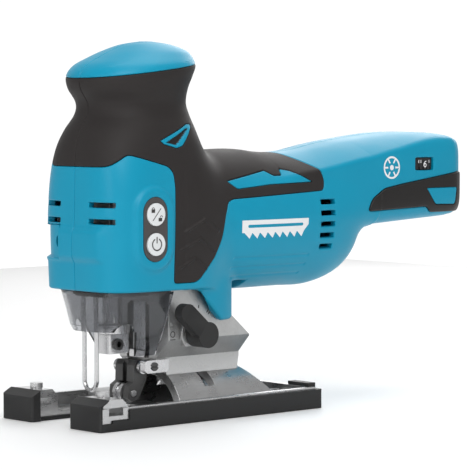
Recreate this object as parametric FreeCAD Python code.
import FreeCAD, Part
import math
import os

V = FreeCAD.Vector

# Barrel-grip cordless jigsaw, in millimetres.
# +X is the cutting direction, +Y the tool's left, +Z up. The origin is the middle of the sole's underside.

# ---- driving dimensions ---------------------------------------------------------------------------
SOLE_LENGTH = 145.0
SOLE_WIDTH = 77.0
SIDE_HEIGHT = 9.6            # top of the cover's side walls
RIM_HEIGHT = 10.6            # top of the plate's rim
PRONG_HEIGHT = 15.0          # top of the prongs' front ends
FORK_HALF_GAP = 16.0         # half the blade gap between the two prongs
TIP_HALF_GAP = 14.4          # the same between the prongs' tips
FORK_ROOT_X = 13.0           # where the blade gap ends
BEVEL_RADIUS = 25.0          # round saddle that the gear housing tilts on
STROKE = 26.0
PLUNGER_X = 34.0
PLUNGER_RADIUS = 4.75
MOTOR_Z = 95.5               # motor axis, along the barrel
MODULE = 0.8
PINION_TEETH = 9
CRANK_TEETH = 44
CRANK_Z = MOTOR_Z + MODULE * (PINION_TEETH + CRANK_TEETH) / 2   # crank gear axis, above the motor axis
WALL = 3.0                   # housing wall
GRIP_DEPTH = 1.6             # depth of the soft overmould
SLIDING = 0.05               # radial clearance of a running fit
HEAD_BOTTOM = 64.0
REAR_X = -184.0              # rear face, where the battery slides on

HEAD = (                     # height, centre x, half length, half width, squareness
    (64.0, 21.0, 35.2, 30.5, 3.2),
    (90.0, 21.5, 35.6, 31.5, 3.2),
    (115.0, 22.0, 34.8, 31.5, 3.1),
    (131.0, 22.8, 33.8, 30.0, 2.9),
    (141.0, 22.4, 31.4, 28.2, 2.6),
    (149.0, 20.8, 28.6, 25.6, 2.3),
    (155.0, 21.2, 28.0, 25.0, 2.2),
    (162.0, 23.6, 29.8, 26.4, 2.2),
    (168.0, 22.6, 30.4, 27.2, 2.2),
    (173.0, 19.4, 29.6, 26.6, 2.2),
    (177.0, 15.8, 26.2, 23.6, 2.2),
    (180.5, 13.0, 20.8, 18.8, 2.2),
    (183.5, 12.4, 12.8, 11.4, 2.1),
    (185.0, 12.4, 3.0, 2.8, 2.0),
)
BARREL = (                   # x, centre height, half height, half width, squareness
    (6.0, 95.6, 34.0, 30.0, 2.2),
    (-20.0, 95.8, 35.2, 32.6, 2.2),
    (-45.0, 95.8, 35.5, 33.8, 2.2),
    (-70.0, 93.8, 33.4, 33.2, 2.2),
    (-88.0, 92.6, 32.2, 32.2, 2.2),
    (-103.0, 94.0, 29.6, 29.8, 2.2),
    (-112.0, 96.5, 25.0, 25.4, 2.2),
    (-118.0, 98.5, 17.5, 18.0, 2.1),
    (-121.0, 99.5, 8.0, 9.0, 2.0),
)
HANDLE = (                   # x, bottom, top, half width
    (-60.0, 91.0, 126.5, 29.5),
    (-85.0, 89.6, 130.6, 31.0),
    (-112.0, 90.2, 135.2, 31.8),
    (-150.0, 92.2, 139.0, 32.6),
    (-173.0, 93.4, 139.2, 32.8),
    (-184.0, 94.2, 137.4, 32.2),
)
HANDLE_SQUARENESS = 4.2


# ---- small helpers ----------------------------------------------------------------------------------
def box(x0, x1, y0, y1, z0, z1):
    return Part.makeBox(x1 - x0, y1 - y0, z1 - z0, V(x0, y0, z0))


def cylinder_x(x0, x1, y, z, radius):
    return Part.makeCylinder(radius, x1 - x0, V(x0, y, z), V(1, 0, 0))


def cylinder_y(y0, y1, x, z, radius):
    return Part.makeCylinder(radius, y1 - y0, V(x, y0, z), V(0, 1, 0))


def cylinder_z(z0, z1, x, y, radius):
    return Part.makeCylinder(radius, z1 - z0, V(x, y, z0), V(0, 0, 1))


def prism(points, direction):
    wire = Part.makePolygon(points + points[:1])
    return Part.Face(wire).extrude(direction)


def side_prism(outline, y0, y1):
    """An outline of (x, z) points, stretched from y0 to y1."""
    return prism([V(x, y0, z) for x, z in outline], V(0, y1 - y0, 0))


def end_prism(outline, x0, x1):
    """An outline of (y, z) points, stretched from x0 to x1."""
    return prism([V(x0, y, z) for y, z in outline], V(x1 - x0, 0, 0))


def plan_prism(outline, z0, z1):
    """An outline of (x, y) points, stretched from z0 to z1."""
    return prism([V(x, y, z0) for x, y in outline], V(0, 0, z1 - z0))


def bevelled_block(x0, x1, half_width, nose_half_width, corner_x, z0, z1):
    """A block whose front corners slant in from corner_x to the nose."""
    outline = [
        (x0, -half_width), (corner_x, -half_width), (x1, -nose_half_width),
        (x1, nose_half_width), (corner_x, half_width), (x0, half_width),
    ]
    return plan_prism(outline, z0, z1)


def join(shapes):
    return shapes[0].fuse(shapes[1:])


def fuse(shapes):
    """Joins plain shapes and clears the seams between faces that continue each other."""
    return join(shapes).removeSplitter()


def cut(shape, *tools):
    for tool in tools:
        shape = shape.cut(tool)
    return shape


def mirrored(shape):
    """The same piece on the other side of the tool."""
    return shape.mirror(V(0, 0, 0), V(0, 1, 0))


def symmetric(shape):
    return Part.makeCompound([shape, mirrored(shape)])


def oval(squareness, steps=36):
    """Points around a superellipse of half size 1: squareness 2 is a circle, and more is boxier."""
    points = []
    for i in range(steps):
        c = math.cos(2 * math.pi * i / steps)
        s = math.sin(2 * math.pi * i / steps)
        radius = (abs(c) ** squareness + abs(s) ** squareness) ** (-1 / squareness)
        points.append((radius * c, radius * s))
    return points


def closed_curve(points):
    curve = Part.BSplineCurve()
    curve.interpolate(points, PeriodicFlag=True)
    return Part.Wire([curve.toShape()])


def eased_rows(rows, steps=2):
    """More rows between the given ones, on a smooth curve through them."""
    eased = []
    last = len(rows) - 1
    for i in range(last):
        around = (rows[max(i - 1, 0)], rows[i], rows[i + 1], rows[min(i + 2, last)])
        for k in range(steps):
            t = k / steps
            eased.append([
                b + (c - a) * t / 2 + (2 * a - 5 * b + 4 * c - d) * t ** 2 / 2 + (3 * b - a - 3 * c + d) * t ** 3 / 2
                for a, b, c, d in zip(*around)
            ])
    return eased + [list(rows[-1])]


def skinned(sections):
    """A solid with one smooth skin over closed sections, and a flat cap at each end."""
    grid = [section + section[:1] for section in sections]
    surface = Part.BSplineSurface()
    surface.interpolate(grid)
    side = surface.toShape()
    caps = [Part.Face(Part.Wire([edge])) for edge in side.Edges if edge.Closed]
    shell = Part.makeShell([side] + caps)
    shell.sewShape()
    solid = Part.makeSolid(shell)
    if solid.Volume < 0:
        solid.reverse()
    return solid


def stadium(x, z, width, height, y0, y1):
    """An upright slot shape with round ends, stretched along Y."""
    radius = width / 2
    reach = height / 2 - radius
    middle = box(x - radius, x + radius, y0, y1, z - reach, z + reach)
    ends = [cylinder_y(y0, y1, x, z + side * reach, radius) for side in (-1, 1)]
    return fuse([middle] + ends)


# ---- outer form ---------------------------------------------------------------------------------------
def head(inset):
    """The upright head with the barrel grip and the knob, its surface moved in by inset."""
    sections = []
    for height, centre, length, width, squareness in eased_rows(HEAD):
        drop = inset if height > 165 else 0
        length = max(length - inset, 0.8)
        width = max(width - inset, 0.8)
        sections.append([V(centre + c * length, s * width, height - drop) for c, s in oval(squareness)])
    return skinned(sections)


def barrel(inset):
    """The motor barrel, which ends in a rounded shoulder at the rear."""
    sections = []
    for x, centre, height, width, squareness in eased_rows(BARREL):
        shift = inset if x < -110 else 0
        width = max(width - inset, 0.8)
        height = max(height - inset, 0.8)
        sections.append([V(x + shift, c * width, centre + s * height) for c, s in oval(squareness)])
    return skinned(sections)


def handle(inset):
    """The flat box behind the barrel that carries the battery."""
    sections = []
    for x, bottom, top, width in eased_rows(HANDLE):
        middle = (bottom + top) / 2
        height = (top - bottom) / 2 - inset
        sections.append([V(x, c * (width - inset), middle + s * height) for c, s in oval(HANDLE_SQUARENESS)])
    return skinned(sections)


def tail(inset):
    """The skirt that runs down behind the gear housing."""
    plan = [V(c * (34 - inset), s * (28.4 - inset), 44) for c, s in oval(2.7)]
    column = Part.Face(closed_curve(plan)).extrude(V(0, 0, 40))
    bottom = 44 if inset else 47.2
    outline = [
        (17.8 - inset, 64.2), (6.3 - inset, 64.2), (1.1 - inset, 61.5), (-12.7, bottom + 0.8),
        (-14.4, bottom), (-40, bottom), (-40, 82), (17.8 - inset, 82),
    ]
    return column.common(side_prism(outline, -40, 40))


def body_form(inset):
    return join([head(inset), barrel(inset), handle(inset), tail(inset)])


PANEL_X = 33.7
PANEL_Z = 94.2
BUTTON_HEIGHTS = {"lock": PANEL_Z + 7.2, "power": PANEL_Z - 7.2}
BUTTON_RADIUS = 5.5
DIAL_X = -153.0
DIAL_Z = 122.4
DIAL_RADIUS = 13.0
DIAL_Y = 19.8
PAD_OUTLINE = [
    (-111.7, 98.3), (-114.6, 104.6), (-123.4, 110.0), (-138.4, 112.4), (-182.4, 118.2),
    (-182.4, 96.6), (-158.3, 96.6), (-155.0, 99.8),
]
EMBLEM_OUTLINE = [(-153.9, 109.6), (-177.5, 109.6), (-176.2, 100.6), (-160.9, 100.9)]
OPENER_AXIS = (46.0, -27.2)
OPENER_Z = (79.5, 95.5)
OPENER_PIN_END = 2.4         # how far the pin reaches into the housing at each end
HOUSING_SCREWS = (           # x, z, y of the head's outer face, y of the tip
    (-20.0, 122.0, -21.0, 10.0),
    (-103.0, 116.0, -24.0, 12.0),
    (-101.0, 73.0, -16.0, 12.0),
    (-130.0, 99.2, -26.0, 12.0),
    (-163.5, 131.0, -26.0, 12.0),
    (14.0, 150.0, -20.0, 12.0),
    (49.4, 75.0, -17.0, 12.0),
)
SCREW_RADIUS = 2.0
SCREW_HEAD_RADIUS = 3.4
SCREW_HEAD_HEIGHT = 2.6
BOSS_RADIUS = 4.2


def grip_region():
    """Where the soft overmould covers the tool: the neck, the barrel's top and a panel down each side."""
    outline = [
        (66.0, 124.2), (54.5, 124.2), (48.0, 129.4), (43.0, 129.2), (24.0, 124.2), (21.0, 121.0), (20.2, 114.0),
        (20.7, 67.4), (6.9, 67.4), (3.6, 69.0), (-5.1, 79.0), (-9.4, 88.0), (-12.3, 100.1), (-14.6, 106.0),
        (-18.0, 107.4), (-76.9, 110.2), (-78.2, 115.0), (-75.5, 121.3), (-69.0, 128.5), (-69.0, 150.0),
        (-30.0, 176.8), (70.0, 165.0),
    ]
    return side_prism(outline, -45, 45)


def accent_region():
    """The housing shows through the overmould in a leaf on the barrel and a sliver on the neck."""
    leaf = [
        (-15.1, 116.2), (-40.2, 121.0), (-46.2, 118.3), (-51.0, 118.4), (-53.0, 121.2), (-58.1, 120.7),
        (-72.2, 114.7), (-41.0, 114.0), (-20.0, 112.2),
    ]
    sliver = [(20.4, 135.6), (2.6, 145.0), (1.0, 143.2), (12.6, 133.4)]
    return [side_prism(outline, side * 10, side * 45) for outline in (leaf, sliver) for side in (-1, 1)]


def screw_bosses(inner):
    """Hollow posts from wall to wall that the housing screws run in."""
    return [cylinder_y(-36, 36, x, z, BOSS_RADIUS).common(inner) for x, z, y_head, y_tip in HOUSING_SCREWS]


def screw_holes():
    holes = []
    for x, z, y_head, y_tip in HOUSING_SCREWS:
        holes.append(cylinder_y(y_head, y_tip + 0.5, x, z, SCREW_RADIUS + 0.05))
        holes.append(cylinder_y(-40, y_head + SCREW_HEAD_HEIGHT, x, z, SCREW_HEAD_RADIUS + 0.3))
    return holes


def inner_webs(inner):
    """Walls across the housing that carry the stator, the rear bearing and the control module."""
    front = cut(box(-38, -35, -40, 40, 50, 140), cylinder_x(-40, -30, 0, MOTOR_Z, STATOR_RADIUS))
    rear = cut(box(-64, -61, -40, 40, 50, 140), cylinder_x(-70, -60, 0, MOTOR_Z, STATOR_RADIUS))
    tail_end = cut(box(-96, -90, -40, 40, 50, 140), cylinder_x(-100, -80, 0, MOTOR_Z, REAR_BEARING_RADIUS))
    air_path = box(-97, -89, -14, 14, 108, 140)
    return [
        front.common(inner),
        rear.common(inner),
        cut(tail_end, air_path).common(inner),
    ]


def vent_cuts():
    cuts = []
    for side in (-1, 1):
        for height in (98.0, 106.0):
            y0, y1 = sorted((side * 10.5, side * 26.5))
            cuts.append(box(38, 64, y0, y1, height - 1.3, height + 1.3))
        for i in range(5):
            y0, y1 = sorted((side * 22, side * 42))
            height = 82.2 + 5.6 * i
            cuts.append(box(-88.8, -78.6, y0, y1, height - 1.3, height + 1.3))
    return cuts


def battery_bay():
    """The rear recess, open at the bottom, with an undercut groove up each side for the battery's rails."""
    recess = box(REAR_X - 2, REAR_X + 7, -22, 22, 80, 130.5)
    grooves = box(REAR_X + 2.6, REAR_X + 7, -26, 26, 80, 130.5)
    return fuse([recess, grooves])


def housing_shell():
    outer = body_form(0)
    inner = body_form(WALL)
    end_wall = box(REAR_X - 1, REAR_X + 10, -40, 40, 80, 150)
    hollow = cut(inner, end_wall)
    open_bottom = head(WALL).common(box(-20, 70, -40, 40, 60, 70))
    open_bottom.translate(V(0, 0, -3))
    raised = [stadium(PANEL_X, PANEL_Z, 21.5, 38.5, 26, 32.6), stadium(PANEL_X, PANEL_Z, 21.5, 38.5, -32.6, -26)]
    shell = cut(join([outer] + raised), hollow, open_bottom)
    shell = join([shell] + inner_webs(hollow) + screw_bosses(hollow))
    holes = vent_cuts() + screw_holes() + [battery_bay()]
    for side in (-1, 1):
        y0, y1 = sorted((side * 30.9, side * 36))
        holes.append(stadium(PANEL_X, PANEL_Z, 15.2, 31.4, y0, y1))
        for height in BUTTON_HEIGHTS.values():
            y0, y1 = sorted((side * 20, side * 36))
            holes.append(cylinder_y(y0, y1, PANEL_X, height, BUTTON_RADIUS + 0.5))
    holes.append(dial_pocket())
    holes.append(box(REAR_X + 6, REAR_X + 11, -17.1, 17.1, 102.9, 130.1))
    holes += lever_pocket()
    holes.append(gear_housing_room())
    holes.append(led_lenses())
    return cut(shell, *holes)


def grip_skin():
    return cut(body_form(0), body_form(GRIP_DEPTH)).common(grip_region())


def side_pads():
    """The pads lie in a shallow pocket of the housing and stand a little proud of it."""
    layer = cut(handle(-0.9), handle(1.4))
    return layer.common(side_prism(PAD_OUTLINE, -45, 45))


def dial_pocket():
    """The dial's room, and the window that its rim shows through."""
    window = box(DIAL_X - 6.8, DIAL_X + 6.8, 28, 36, DIAL_Z - 3.4, DIAL_Z + 3.4)
    return fuse([cylinder_z(DIAL_Z - 3.4, DIAL_Z + 3.4, DIAL_X, DIAL_Y, DIAL_RADIUS + 0.5), window])


def half(shape, side):
    keep = box(-200, 80, 0, 60, 30, 200) if side > 0 else box(-200, 80, -60, 0, 30, 200)
    return shape.common(keep)


def housings_and_grips():
    skin = grip_skin()
    for region in accent_region():
        skin = cut(skin, region)
    screw_space = screw_holes()
    skin = cut(skin, *screw_space)
    pads = side_pads()
    shell = cut(housing_shell(), skin, pads)
    emblems = pads.common(side_prism(EMBLEM_OUTLINE, -45, 45))
    emblem_bed = handle(-0.2)
    emblems = cut(emblems, emblem_bed)
    pads = cut(pads, emblems)
    nodes = {}
    for name, side in (("left", 1), ("right", -1)):
        nodes["housing_" + name] = half(shell, side)
        nodes["grip_" + name] = half(skin, side)
        nodes["side_pad_" + name] = half(pads, side)
        nodes["emblem_" + name] = half(emblems, side)
    return nodes


def housing_screws():
    screws = []
    for x, z, y_head, y_tip in HOUSING_SCREWS:
        shank = cylinder_y(y_head, y_tip, x, z, SCREW_RADIUS)
        top = cylinder_y(y_head, y_head + SCREW_HEAD_HEIGHT, x, z, SCREW_HEAD_RADIUS)
        socket = cylinder_y(y_head - 1, y_head + 1.6, x, z, 1.3)
        screws.append(cut(fuse([shank, top]), socket))
    return Part.makeCompound(screws)


# ---- controls -----------------------------------------------------------------------------------------
def switch_panel():
    panel = stadium(PANEL_X, PANEL_Z, 14.8, 31.0, 31.0, 32.9)
    for height in BUTTON_HEIGHTS.values():
        panel = cut(panel, cylinder_y(30, 34, PANEL_X, height, BUTTON_RADIUS + 0.15))
    return panel


def button(height):
    cap = cylinder_y(27.2, 33.8, PANEL_X, height, BUTTON_RADIUS)
    return cap.makeFillet(0.4, [e for e in cap.Edges if abs(e.CenterOfMass.y - 33.8) < 0.01])


def speed_dial():
    """A knurled thumb wheel on an upright axis; its rim shows through the window."""
    wheel = cylinder_z(DIAL_Z - 3, DIAL_Z + 3, DIAL_X, DIAL_Y, DIAL_RADIUS)
    notches = []
    for i in range(30):
        angle = 2 * math.pi * i / 30
        x = DIAL_X + DIAL_RADIUS * math.cos(angle)
        y = DIAL_Y + DIAL_RADIUS * math.sin(angle)
        notches.append(cylinder_z(DIAL_Z - 4, DIAL_Z - 1.6, x, y, 0.5))
    return cut(wheel, Part.makeCompound(notches), cylinder_z(DIAL_Z - 4, DIAL_Z + 4, DIAL_X, DIAL_Y, 1.5 + SLIDING))


def dial_post():
    """The potentiometer under the dial, whose shaft carries it."""
    shaft = cylinder_z(DIAL_Z - 6, DIAL_Z + 3, DIAL_X, DIAL_Y, 1.5)
    case = box(DIAL_X - 6, DIAL_X + 6, DIAL_Y - 6, DIAL_Y + 5, DIAL_Z - 10, DIAL_Z - 4)
    return fuse([shaft, case])


def lever_band(depth, proud, margin):
    """A band of the head's front right surface, from depth under it to proud of it."""
    x, y = OPENER_AXIS
    low, high = OPENER_Z
    zone = box(x, 70, y, -11 + margin, low - margin, high + margin)
    return cut(head(-proud), head(depth)).common(zone)


def lever_pocket():
    x, y = OPENER_AXIS
    low, high = OPENER_Z
    pin_hole = cylinder_z(low - OPENER_PIN_END, high + OPENER_PIN_END, x, y, 1.0)
    return [lever_band(2.2, 2.0, 0.4), cylinder_z(low - 0.4, high + 0.4, x, y, 3.0), pin_hole]


def opener_lever():
    x, y = OPENER_AXIS
    low, high = OPENER_Z
    knuckle = cylinder_z(low, high, x, y, 2.4)
    plate = lever_band(1.8, 1.2, 0)
    grip_notch = cylinder_x(40, 70, -11, (low + high) / 2, 3.2)
    return cut(join([knuckle, plate]), grip_notch, cylinder_z(low - 1, high + 1, x, y, 1.0 + SLIDING))


def opener_pin():
    x, y = OPENER_AXIS
    low, high = OPENER_Z
    return cylinder_z(low - OPENER_PIN_END, high + OPENER_PIN_END, x, y, 1.0)


def led_lenses():
    """Small lamps let into the front wall's lower edge."""
    return symmetric(box(51.9, 54.3, 10.5, 15, HEAD_BOTTOM - 0.2, HEAD_BOTTOM + 2))


# ---- gear housing ---------------------------------------------------------------------------------------
CASE_HALF_WIDTH = 23.5       # the part that shows under the housing
CASE_FRONT = 44.0
CHAMBER_HALF_WIDTH = 20.0    # room for the plunger's cross slot
CHAMBER_Z = (96.4, 137.2)
CASE_WALL = 2.0
NOSE_BOTTOM = 61.0           # the blade clamp rises to just under it
FLANGE_FRONT = 17.6
YOKE_HALF_WIDTH = 19.0
YOKE_HALF_HEIGHT = 6.6
ORBIT_X = (12.0, 18.4)       # the orbit push rod, front to back
CHANGE_PIVOT = (0.8, 41.4)   # x and z of the change lever's shaft
BOLT_X = -12.0
LOWER_BUSH_Z = (61.4, 70.0)
UPPER_BUSH_Z = (139.6, 147.0)


def saddle_cylinder(radius):
    return cylinder_x(-60, 60, 0, 0, radius)


def gear_housing_form():
    low, high = CHAMBER_Z
    chamber = bevelled_block(4, CASE_FRONT, CHAMBER_HALF_WIDTH + CASE_WALL, 13, 33.5, low - CASE_WALL, high + CASE_WALL)
    column = bevelled_block(20, CASE_FRONT, 15.5, 10, 36, NOSE_BOTTOM, low)
    middle = box(-6, 24, -15.5, 15.5, 58, low)
    section = [
        (-14, 18), (14, 18), (14, 29.5), (CASE_HALF_WIDTH, 39), (CASE_HALF_WIDTH, 66),
        (-CASE_HALF_WIDTH, 66), (-CASE_HALF_WIDTH, 39), (-14, 29.5),
    ]
    lower = end_prism(section, -37, FLANGE_FRONT)
    profile = [
        (FLANGE_FRONT, 66), (FLANGE_FRONT, 29), (11.0, 22), (11.0, 10), (-33.5, 10), (-37.0, 27.5), (-36.4, 38.2),
        (-14.5, 57), (-14.5, 66),
    ]
    lower = lower.common(side_prism(profile, -40, 40))
    top_boss = cylinder_z(high, UPPER_BUSH_Z[1], PLUNGER_X, 0, 9.5)
    motor_ring = cylinder_x(-14.5, -5, 0, MOTOR_Z, 13.5)
    crank_ring = cylinder_x(-5, 9, 0, CRANK_Z, 13.5)
    px, pz = CHANGE_PIVOT
    shaft_boss = cylinder_y(-CASE_HALF_WIDTH, CASE_HALF_WIDTH + 0.4, px, pz, 8.5)
    shaft_boss = shaft_boss.common(box(-20, 20, -30, 30, 35.4, 60))
    form = fuse([chamber, column, middle, lower, top_boss, motor_ring, crank_ring, shaft_boss])
    return cut(form, saddle_cylinder(BEVEL_RADIUS + 0.05))


def gear_housing_room():
    """The space that the tail of the housing leaves around the casting."""
    half_width = CASE_HALF_WIDTH + 0.3
    return fuse([
        box(-30, 30, -half_width, half_width, 20, 63),
        box(-15, 30, -half_width, half_width, 60, 70),
    ])


def gear_housing():
    low, high = CHAMBER_Z
    chamber = bevelled_block(9, CASE_FRONT + 1, CHAMBER_HALF_WIDTH, 11, 33, low, high)
    pinion_bay = cylinder_x(-8, 24, 0, MOTOR_Z, 6.5)
    seats = [
        cylinder_x(-15, -7, 0, MOTOR_Z, 11),
        cylinder_x(-6, 4, 0, CRANK_Z, 11),
        cylinder_x(-6, 12, 0, CRANK_Z, 6),
        cylinder_z(NOSE_BOTTOM - 1, 100, PLUNGER_X, 0, PLUNGER_RADIUS + 2),
        cylinder_z(130, 150, PLUNGER_X, 0, PLUNGER_RADIUS + 2),
    ]
    px, pz = CHANGE_PIVOT
    lever_bore = cylinder_y(-30, 30, px, pz, 4 + SLIDING)
    start, end = ORBIT_X
    orbit_bay = box(start - 1, 30, -8.4, 8.4, 18, 56)
    rod_bay = box(start - 1, end + 1, -6.5, 6.5, 50, low + 1)
    mid_hollow = box(-3, start - 3, -12.5, 12.5, 52, 84)
    bolt_hole = cylinder_z(0, 46, BOLT_X, 0, 3.1)
    hollow = box(-33, -22, -10, 10, 0, 34)
    return cut(gear_housing_form(), chamber, pinion_bay, lever_bore, orbit_bay, rod_bay, mid_hollow, bolt_hole,
               hollow, *seats)


def gear_housing_front():
    """The cover plate over the front of the gear chamber; the chamber is filled from this side."""
    low, high = CHAMBER_Z
    return box(CASE_FRONT, CASE_FRONT + 2, -13, 13, low - CASE_WALL, high + CASE_WALL)


def crank_bearing():
    return ring_x(-3.8, 3.9, CRANK_Z, 11 - 0.02, 5 + SLIDING)


def ring_x(x0, x1, z, outer, inner):
    return cut(cylinder_x(x0, x1, 0, z, outer), cylinder_x(x0 - 1, x1 + 1, 0, z, inner))


def plunger_bushes():
    bushes = []
    for low, high in (LOWER_BUSH_Z, UPPER_BUSH_Z):
        outer = cylinder_z(low, high, PLUNGER_X, 0, PLUNGER_RADIUS + 2)
        bushes.append(cut(outer, cylinder_z(low - 1, high + 1, PLUNGER_X, 0, PLUNGER_RADIUS + SLIDING)))
    return Part.makeCompound(bushes)


GUARD_HALF_GAP = 4.7         # between the middle and each leg of the wire


def wire_guard():
    """The finger guard: a wire bent to a U in front of the blade."""
    radius = 1.1
    half_gap = GUARD_HALF_GAP
    x = 47.6
    bend = 19.8
    legs = [cylinder_z(bend, 66, x, side * half_gap, radius) for side in (-1, 1)]
    torus = Part.makeTorus(half_gap, radius, V(x, 0, bend), V(1, 0, 0))
    lower = torus.common(box(x - 5, x + 5, -10, 10, bend - 10, bend))
    return fuse(legs + [lower])


def guard_holder():
    block = box(CASE_FRONT, 49.2, -9, 9, NOSE_BOTTOM, 66)
    return cut(block, *[cylinder_z(40, 70, 47.6, side * GUARD_HALF_GAP, 1.1) for side in (-1, 1)])


# ---- motor ----------------------------------------------------------------------------------------------
STATOR_RADIUS = 27.0
STATOR_X = (-62.0, -37.0)
ROTOR_RADIUS = 14.0
REAR_BEARING_RADIUS = 8.0
REAR_BEARING_X = (-95.6, -90.4)
FAN_X = (-86.0, -74.0)


def stator():
    start, end = STATOR_X
    outer = cylinder_x(start, end, 0, MOTOR_Z, STATOR_RADIUS)
    bore = cylinder_x(start - 1, end + 1, 0, MOTOR_Z, ROTOR_RADIUS + 0.5)
    slots = []
    for i in range(6):
        slot = box(start - 1, end + 1, -6, 6, MOTOR_Z + 16.5, MOTOR_Z + 23.5)
        slot.rotate(V(0, 0, MOTOR_Z), V(1, 0, 0), 60 * i)
        slots.append(slot)
    return cut(outer, bore, *slots)


def stator_coils():
    start, end = STATOR_X
    coils = []
    for i in range(6):
        coil = box(start - 5, end + 5, -5.8, 5.8, MOTOR_Z + 16.7, MOTOR_Z + 23.3)
        coil = coil.makeFillet(1.2, coil.Edges)
        coil.rotate(V(0, 0, MOTOR_Z), V(1, 0, 0), 60 * i)
        coils.append(coil)
    return Part.makeCompound(coils)


def rotor_core():
    return ring_x(STATOR_X[0], STATOR_X[1], MOTOR_Z, ROTOR_RADIUS, 4)


def gear_teeth(x0, x1, teeth, z, turn):
    """A spur gear on an axis along X at height z, with straight-sided teeth."""
    pitch_radius = MODULE * teeth / 2
    root = pitch_radius - 1.15 * MODULE
    tip = pitch_radius + 0.9 * MODULE
    step = 2 * math.pi / teeth
    outline = []
    for i in range(teeth):
        middle = turn + i * step
        for part, radius in ((-0.26, root), (-0.08, tip), (0.08, tip), (0.26, root)):
            angle = middle + part * step
            outline.append((radius * math.sin(angle), z + radius * math.cos(angle)))
    return end_prism(outline, x0, x1)


GEAR_X = (12.5, 20.5)


def rotor_shaft():
    start, end = GEAR_X
    half_tooth = math.pi / PINION_TEETH
    pinion = gear_teeth(start, end + 0.5, PINION_TEETH, MOTOR_Z, half_tooth)
    core = cylinder_x(-73, -18, 0, MOTOR_Z, 4)
    front = cylinder_x(-18, 12.5, 0, MOTOR_Z, 3)
    rear = cylinder_x(-97, -73, 0, MOTOR_Z, 3)
    return fuse([rear, core, front, pinion])


def rotor_fan():
    start, end = FAN_X
    hub = cylinder_x(start, end, 0, MOTOR_Z, 8)
    disc = cylinder_x(end - 1.6, end, 0, MOTOR_Z, 25.5)
    blades = []
    for i in range(11):
        blade = box(start + 1, end - 1, -0.7, 0.7, MOTOR_Z + 7, MOTOR_Z + 25)
        blade.rotate(V(0, 0, MOTOR_Z), V(1, 0, 0), 360 / 11 * i)
        blades.append(blade)
    return cut(fuse([hub, disc] + blades), cylinder_x(start - 1, end + 1, 0, MOTOR_Z, 3))


def front_bearing():
    return ring_x(-14.2, -7.2, MOTOR_Z, 11 - 0.02, 3 + SLIDING)


def rear_bearing():
    return ring_x(REAR_BEARING_X[0], REAR_BEARING_X[1], MOTOR_Z, REAR_BEARING_RADIUS - 0.02, 3 + SLIDING)


# ---- stroke and orbit -----------------------------------------------------------------------------------
def crank_gear():
    start, end = GEAR_X
    wheel = gear_teeth(start, end, CRANK_TEETH, CRANK_Z, 0)
    shaft = cylinder_x(-5, start, 0, CRANK_Z, 5)
    pin_hole = cylinder_x(start - 1, end + 1, STROKE / 2, CRANK_Z, 2.6)
    relief = cut(cylinder_x(end - 2, end + 1, 0, CRANK_Z, 14), cylinder_x(end - 3, end + 2, 0, CRANK_Z, 7))
    relief = cut(relief, cylinder_x(end - 3, end + 2, STROKE / 2, CRANK_Z, 4.6))
    return cut(fuse([wheel, shaft]), pin_hole, relief)


def crank_pin():
    start, end = GEAR_X
    pin = cylinder_x(start, 25.4, STROKE / 2, CRANK_Z, 2.6)
    roller = cylinder_x(end + 0.4, 25.4, STROKE / 2, CRANK_Z, 3.8)
    return fuse([pin, roller])


def plunger():
    """The rod that carries the blade, with the cross slot that the crank pin drives."""
    rod = cylinder_z(41.8, 160, PLUNGER_X, 0, PLUNGER_RADIUS)
    plate = box(26, 31.6, -YOKE_HALF_WIDTH, YOKE_HALF_WIDTH, CRANK_Z - YOKE_HALF_HEIGHT, CRANK_Z + YOKE_HALF_HEIGHT)
    ends = [e for e in plate.Edges if abs(abs(e.CenterOfMass.y) - YOKE_HALF_WIDTH) < 0.1
            and abs(e.CenterOfMass.x - 28.8) < 0.1]
    plate = plate.makeFillet(2.5, ends)
    reach = STROKE / 2
    slot = fuse([
        box(25, 29.2, -reach, reach, CRANK_Z - 4, CRANK_Z + 4),
        cylinder_x(25, 29.2, -reach, CRANK_Z, 4),
        cylinder_x(25, 29.2, reach, CRANK_Z, 4),
    ])
    return fuse([cut(plate, slot), rod])


def clamp_collar():
    ring = cut(cylinder_z(41.9, 47.2, PLUNGER_X, 0, 8.6), cylinder_z(40, 48, PLUNGER_X, 0, PLUNGER_RADIUS))
    return ring.makeFillet(0.8, [e for e in ring.Edges if e.Curve.TypeId == "Part::GeomCircle"
                                 and abs(e.Curve.Radius - 8.6) < 0.01])


def clamp_block():
    """The blade socket: a block with a slot for the blade's shank, open downwards."""
    low, high = 32.4, 41.8
    block = box(PLUNGER_X - 6.5, PLUNGER_X + 6.5, -5.6, 5.6, low, high)
    block = block.makeFillet(1.2, [e for e in block.Edges if abs(e.CenterOfMass.z - (low + high) / 2) < 0.1])
    slot = box(PLUNGER_X - 4.5, PLUNGER_X + 4.5, -0.9, 0.9, low - 1, high - 0.8)
    return cut(block, slot, cylinder_y(0, 7, PLUNGER_X + 1.2, 37, 2.8))


def clamp_screw():
    body = cylinder_y(1.2, 7.0, PLUNGER_X + 1.2, 37, 2.8)
    socket = Part.Face(Part.makePolygon([
        V(PLUNGER_X + 1.2 + 1.6 * math.cos(a * math.pi / 3), 7.1, 37 + 1.6 * math.sin(a * math.pi / 3))
        for a in (0, 1, 2, 3, 4, 5, 0)
    ])).extrude(V(0, -2.8, 0))
    return cut(body, socket)


RETAINER_PIVOT = (22.0, 25.0)
ROLLER_CENTRE = (26.6, 12.4)
ROLLER_RADIUS = 5.0


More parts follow.
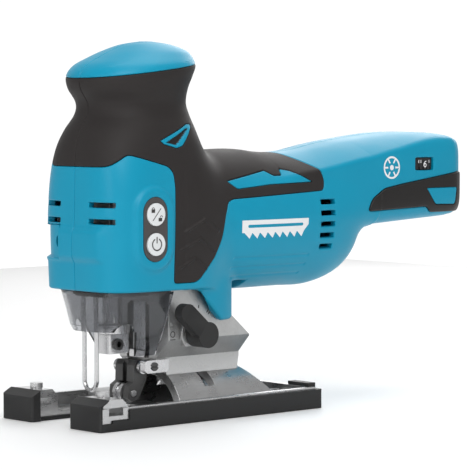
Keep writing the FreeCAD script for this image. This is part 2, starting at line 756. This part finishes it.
def retainer_yoke():
    """The fork that holds the guide roller behind the blade; it swings on the pivot pin."""
    px, pz = RETAINER_PIVOT
    rx, rz = ROLLER_CENTRE
    outline = [
        (px - 5.6, pz + 3.0), (px + 2.4, pz + 3.4), (px + 4.0, pz + 1.0), (px + 4.2, pz - 7.0), (rx + 3.0, rz + 3.6),
        (rx + 3.6, rz - 2.2), (rx + 0.5, rz - 4.4), (rx - 3.6, rz - 3.0), (px - 3.6, pz - 7.0),
    ]
    body = side_prism(outline, -7.2, 7.2)
    roller_bay = fuse([
        cylinder_y(-3.4, 3.4, rx, rz, ROLLER_RADIUS + 0.5),
        box(rx, rx + 8, -3.4, 3.4, rz - 8, rz + 5),
        box(px + 2.6, px + 8, -1.6, 1.6, rz, pz + 8),
    ])
    pin_bore = cylinder_y(-10, 10, px, pz, 2.0 + SLIDING)
    return cut(body, roller_bay, pin_bore, cylinder_y(-8, 8, rx, rz, 1.6))


def retainer_pin():
    px, pz = RETAINER_PIVOT
    pin = cylinder_y(-9.8, 12.4, px, pz, 2.0)
    discs = [cylinder_y(-9.8, -7.6, px, pz, 3.2), cylinder_y(7.6, 9.8, px, pz, 3.2)]
    return fuse([pin] + discs)


def pivot_block():
    px, pz = RETAINER_PIVOT
    block = box(11.0, 25.4, 10.2, 15.8, 22.6, 29.0)
    block = block.makeFillet(1.4, [e for e in block.Edges if abs(e.CenterOfMass.x - 25.4) < 0.01])
    block = cut(block, gear_housing_form(), saddle_cylinder(BEVEL_RADIUS + 1.2))
    return cut(block, cylinder_y(9, 12.4, px, pz, 2.0), cylinder_y(13.4, 16, 20.2, 25.8, 2.1))


def pivot_screw():
    head_part = cylinder_y(13.4, 16.4, 20.2, 25.8, 2.1)
    return cut(head_part, box(18, 23, 15.7, 17, 25.4, 26.2))


def guide_roller():
    rx, rz = ROLLER_CENTRE
    wheel = cylinder_y(-3.1, 3.1, rx, rz, ROLLER_RADIUS)
    groove = cut(cylinder_y(-0.9, 0.9, rx, rz, 6), cylinder_y(-2, 2, rx, rz, 3.8))
    return cut(wheel, groove, cylinder_y(-4, 4, rx, rz, 1.6 + SLIDING))


def roller_pin():
    rx, rz = ROLLER_CENTRE
    return cylinder_y(-7.8, 7.8, rx, rz, 1.6)


def orbit_rod():
    """The push rod in front of the change shaft that tips the retainer forward."""
    start, end = ORBIT_X
    stem = box(start + 1.2, end - 1.6, -4.5, 4.5, 29.2, MOTOR_Z - 7)
    foot = box(start + 0.4, end, -5.6, 5.6, 29.2, 33.0)
    return fuse([stem, foot])


# ---- change lever ---------------------------------------------------------------------------------------
LEVER_ANGLE = 139.0          # from straight back, seen from the left, as the lever stands
LEVER_LENGTH = 17.2
LEVER_Y = (29.0, 34.2)       # the arm, outside the tail of the housing


def change_lever():
    px, pz = CHANGE_PIVOT
    inner, outer = LEVER_Y
    hub = cylinder_y(24.2, outer, px, pz, 6.4)
    arm = fuse([
        box(px - LEVER_LENGTH, px, inner, outer, pz - 4.6, pz + 4.6),
        cylinder_y(inner, outer, px - LEVER_LENGTH, pz, 4.6),
    ])
    arm.rotate(V(px, 0, pz), V(0, 1, 0), LEVER_ANGLE)
    bore = cylinder_y(20, 31, px, pz, 3.2)
    return cut(fuse([hub, arm]), bore)


def change_shaft():
    """The lever's shaft; a flat in its middle sets how far the retainer can swing."""
    px, pz = CHANGE_PIVOT
    shaft = fuse([cylinder_y(-22, 24.1, px, pz, 4.0), cylinder_y(24.1, 31, px, pz, 3.2)])
    return cut(shaft, box(px - 6, px + 6, -6, 6, pz + 1.6, pz + 6))


# ---- dust cover -----------------------------------------------------------------------------------------
DUST_COVER_TOP = 63.4


def dust_cover_layer(sections, inset):
    wires = []
    for height, length, width, squareness in sections:
        points = [V(HEAD[0][1] + c * (length - inset), s * (width - inset), height) for c, s in oval(squareness)]
        wires.append(closed_curve(points))
    return Part.makeLoft(wires, True, True)


def dust_cover():
    """The clear hood around the blade clamp, open at the rear and below; its collar slides inside the head."""
    skirt = ((DUST_COVER_TOP, 33.6, 28.6, 3.0), (47.0, 32.4, 22.5, 2.6), (31.0, 25.0, 14.4, 2.4))
    collar = ((70.0, 31.0, 26.2, 3.0), (61.0, 31.0, 26.2, 3.0))
    shell = join([
        cut(dust_cover_layer(skirt, 0), dust_cover_layer(skirt, 1.6)),
        cut(dust_cover_layer(skirt, 0), dust_cover_layer(skirt, 3.6)).common(box(-40, 80, -40, 40, 62.2, 80)),
        cut(dust_cover_layer(collar, 0), dust_cover_layer(collar, 1.5)).common(box(-40, 80, -40, 40, 62.2, 80)),
    ])
    keep = side_prism([
        (18.6, 80.0), (18.6, 31.4), (30.5, 31.4), (35.0, 44.0), (60.0, 44.0), (60.0, 80.0),
    ], -40, 40)
    arch = cylinder_y(-40, 40, 41.0, 44.0, 4.4)
    return cut(shell.common(keep), arch)


# ---- base -----------------------------------------------------------------------------------------
PLATE_BOTTOM = 1.6
FLOOR_TOP = 4.0
RIM_HALF_WIDTH = 36.4
RIM_INNER = 33.2
PRONG_X = 54.0               # the prongs' tall front ends start here
CAP_X = 69.2                 # the cover closes the tips in front of this
WINDOW_X = (54.5, 71.3)      # where the plate shows through the cover's side
FENCE_HEIGHTS = (7.3, 10.8)  # slot through each prong for a rip fence
KNOB = (60.8, 26.0)          # x and y of the round boss on each prong


def rounded_plate(x0, x1, y0, y1, z0, z1, radius):
    plate = box(x0, x1, y0, y1, z0, z1)
    corners = [e for e in plate.Edges if abs(e.CenterOfMass.z - (z0 + z1) / 2) < 0.01]
    return plate.makeFillet(radius, corners)


def fork_gap(widen):
    """The blade gap between the prongs, with rounded inner corners."""
    width = FORK_HALF_GAP + widen
    return rounded_plate(FORK_ROOT_X - widen, SOLE_LENGTH, -width, width, -5, 40, 6)


def on_both_sides(outline, y0, y1):
    """An outline of (x, z) points, stretched from y0 to y1 and again on the other side."""
    solid = side_prism(outline, y0, y1)
    return join([solid, mirrored(solid)])


def window_outline(margin):
    """The opening in the cover's side, over each prong."""
    start, end = WINDOW_X
    step = 65.0
    return [
        (start + margin, 20), (start + margin, 5.0 + margin), (step + margin, 5.0 + margin),
        (step + margin, 3.6 + margin), (end - margin, 3.6 + margin), (end - margin, 12.0 - margin),
        (67.0 - margin, 14.8 - margin), (67.0 - margin, 20),
    ]


def prong_blocks():
    """The plate's tall front ends, inside the cover's tips."""
    top = PRONG_HEIGHT - 0.2
    profile = [
        (PRONG_X, PLATE_BOTTOM), (PRONG_X, 11.4), (57.4, top), (66.4, top), (66.4, 13.4), (CAP_X, 12.4),
        (CAP_X, PLATE_BOTTOM),
    ]
    blocks = on_both_sides(profile, FORK_HALF_GAP + 1.6, RIM_HALF_WIDTH)
    faces = on_both_sides(window_outline(0.15), RIM_HALF_WIDTH - 1.6, SOLE_WIDTH / 2 - 0.9)
    faces = faces.common(box(50, 80, -50, 50, 0, 10.8))
    low, high = FENCE_HEIGHTS
    slots = on_both_sides([(58, low), (66.7, low), (66.7, high), (58, high)], 15, 40)
    x, y = KNOB
    knobs = [cylinder_z(10, PRONG_HEIGHT + 2.6, x, side * y, 3.2) for side in (-1, 1)]
    return cut(join([blocks, faces] + knobs), slots)


def base_plate():
    """The die-cast plate with the round saddle that the gear housing is clamped to."""
    rear = -SOLE_LENGTH / 2
    plate = rounded_plate(rear + 2.2, 80, -RIM_HALF_WIDTH, RIM_HALF_WIDTH, PLATE_BOTTOM, RIM_HEIGHT, 1.2)
    plate = plate.common(box(-80, PRONG_X + 1, -40, 40, 0, 40))
    pocket = rounded_plate(rear + 5.6, PRONG_X + 20, -RIM_INNER, RIM_INNER, FLOOR_TOP, RIM_HEIGHT + 1, 3)
    ribs = [box(-66, -46, side * 12 - 1, side * 12 + 1, FLOOR_TOP, RIM_HEIGHT - 2.5) for side in (-1, 1)]
    saddle = cut(cylinder_x(-52, 10.4, 0, 0, BEVEL_RADIUS), cylinder_x(-60, 20, 0, 0, BEVEL_RADIUS - 4.5))
    saddle = saddle.common(box(-60, 20, -30, 30, FLOOR_TOP - 0.5, 30))
    slope = side_prism([(-80, 0), (-80, 40), (-34.5, 40), (-34.5, 25.2), (-52.4, 8)], -40, 40)
    bolt_slot = end_prism([(0, 0), (34, 24), (34, 40), (-34, 40), (-34, 24)], BOLT_X - 3.4, BOLT_X + 3.4)
    plate = cut(plate, pocket, fork_gap(1.6))
    under = cylinder_x(-48, 8, 0, 0, BEVEL_RADIUS - 4.5)
    plate = fuse([cut(plate, under.common(box(-48, 8, -30, 30, -1, 12))), cut(saddle, slope, bolt_slot)] + ribs)
    centre_bar = box(-4, 8, -20.6, 20.6, PLATE_BOTTOM, FLOOR_TOP)
    return fuse([plate, centre_bar, prong_blocks()])


def base_cover():
    """The plastic shoe under the plate, which wraps its edges and caps the prongs' tips."""
    half_length = SOLE_LENGTH / 2
    half_width = SOLE_WIDTH / 2
    body = rounded_plate(-half_length, half_length, -half_width, half_width, 0, SIDE_HEIGHT, 1.6)
    room = rounded_plate(-half_length + 2.2, 90, -RIM_HALF_WIDTH, RIM_HALF_WIDTH, PLATE_BOTTOM, 40, 1.2)
    tray = cut(body, room, fork_gap(0))
    profile = [(CAP_X - 2.8, 0), (CAP_X - 2.8, PRONG_HEIGHT), (67, PRONG_HEIGHT), (half_length, 12), (half_length, 0)]
    tips = [rounded_plate(CAP_X - 2.8, half_length, y0, y1, 0, PRONG_HEIGHT, 1.6).common(side_prism(profile, -50, 50))
            for y0, y1 in ((TIP_HALF_GAP, half_width), (-half_width, -TIP_HALF_GAP))]
    inner_room = on_both_sides([(CAP_X - 5, PLATE_BOTTOM), (CAP_X - 5, 20), (66.4, 20), (66.4, 13.4), (CAP_X, 12.4),
                                (CAP_X, PLATE_BOTTOM)], FORK_HALF_GAP + 1.6, RIM_HALF_WIDTH)
    fence_slots = on_both_sides([(58, 7), (66.7, 7), (66.7, 11), (58, 11)], 10, FORK_HALF_GAP + 2)
    windows = on_both_sides(window_outline(0), RIM_HALF_WIDTH - 1.6, half_width + 2)
    hooks = [box(-half_length, -67.5, y0, y1, 8.0, 12.4) for y0, y1 in ((18, 33), (-33, -18))]
    hook_room = box(-half_length + 2.2, 0, -40, 40, 0, RIM_HEIGHT + 0.1)
    wrench_hole = cylinder_z(-1, 5, BOLT_X, 0, 5.0)
    hooks = [cut(hook, hook_room) for hook in hooks]
    return cut(join([tray] + tips + hooks), inner_room, fence_slots, windows, wrench_hole)


def clamp_bolt():
    """The hex-socket bolt that locks the base, reached from under the sole."""
    shank = cylinder_z(15, 40, BOLT_X, 0, 3.0)
    top = cylinder_z(11.6, 15.6, BOLT_X, 0, 5.0)
    socket = cylinder_z(10, 14, BOLT_X, 0, 2.2)
    return cut(fuse([shank, top]), socket)


def clamp_shoe():
    """The curved plate that the bolt pulls up against the inside of the saddle."""
    band = cylinder_x(BOLT_X - 12, BOLT_X + 12, 0, 0, BEVEL_RADIUS - 4.6).common(box(-40, 20, -6.5, 6.5, 15.7, 30))
    return cut(band, cylinder_z(0, 40, BOLT_X, 0, 3.05))


# ---- electronics ----------------------------------------------------------------------------------------
def control_module():
    low, high = 104.5, 117.5
    tray = box(-146, -118, -22, 22, low, high)
    return tray.makeFillet(1.5, [e for e in tray.Edges if abs(e.CenterOfMass.z - (low + high) / 2) < 0.1])


def terminal_block():
    body = box(REAR_X + 4.0, REAR_X + 14.5, -17, 17, 103, 130)
    bay = box(REAR_X + 3, REAR_X + 7.4, -15.5, 15.5, 102, 128)
    return cut(body, bay)


def terminal_blades():
    blades = []
    for y in (-11.0, -4.0, 4.0, 11.0):
        blades.append(box(REAR_X + 4.4, REAR_X + 7.4, y - 0.5, y + 0.5, 108, 126))
    return Part.makeCompound(blades)


def build():
    nodes = housings_and_grips()
    nodes.update({
        "housing_screws": housing_screws(),
        "switch_panel_left": switch_panel(),
        "switch_panel_right": mirrored(switch_panel()),
        "speed_dial": speed_dial(),
        "dial_potentiometer": dial_post(),
        "opener_lever": opener_lever(),
        "opener_pin": opener_pin(),
        "led_lenses": led_lenses(),
        "gear_housing": gear_housing(),
        "gear_housing_front": gear_housing_front(),
        "crank_bearing": crank_bearing(),
        "plunger_bushes": plunger_bushes(),
        "wire_guard": wire_guard(),
        "guard_holder": guard_holder(),
        "stator": stator(),
        "stator_coils": stator_coils(),
        "rotor_core": rotor_core(),
        "rotor_shaft": rotor_shaft(),
        "rotor_fan": rotor_fan(),
        "front_bearing": front_bearing(),
        "rear_bearing": rear_bearing(),
        "crank_gear": crank_gear(),
        "crank_pin": crank_pin(),
        "plunger": plunger(),
        "clamp_collar": clamp_collar(),
        "clamp_block": clamp_block(),
        "clamp_screw": clamp_screw(),
        "retainer_yoke": retainer_yoke(),
        "retainer_pin": retainer_pin(),
        "pivot_block": pivot_block(),
        "pivot_screw": pivot_screw(),
        "guide_roller": guide_roller(),
        "roller_pin": roller_pin(),
        "orbit_rod": orbit_rod(),
        "change_lever": change_lever(),
        "change_shaft": change_shaft(),
        "dust_cover": dust_cover(),
        "base_plate": base_plate(),
        "base_cover": base_cover(),
        "clamp_bolt": clamp_bolt(),
        "clamp_shoe": clamp_shoe(),
        "control_module": control_module(),
        "terminal_block": terminal_block(),
        "terminal_blades": terminal_blades(),
    })
    for name, height in BUTTON_HEIGHTS.items():
        nodes[name + "_button_left"] = button(height)
        nodes[name + "_button_right"] = mirrored(button(height))
    return nodes


os.makedirs("parts", exist_ok=True)
for node, solid in build().items():
    solid.exportStep("parts/" + node + ".step")
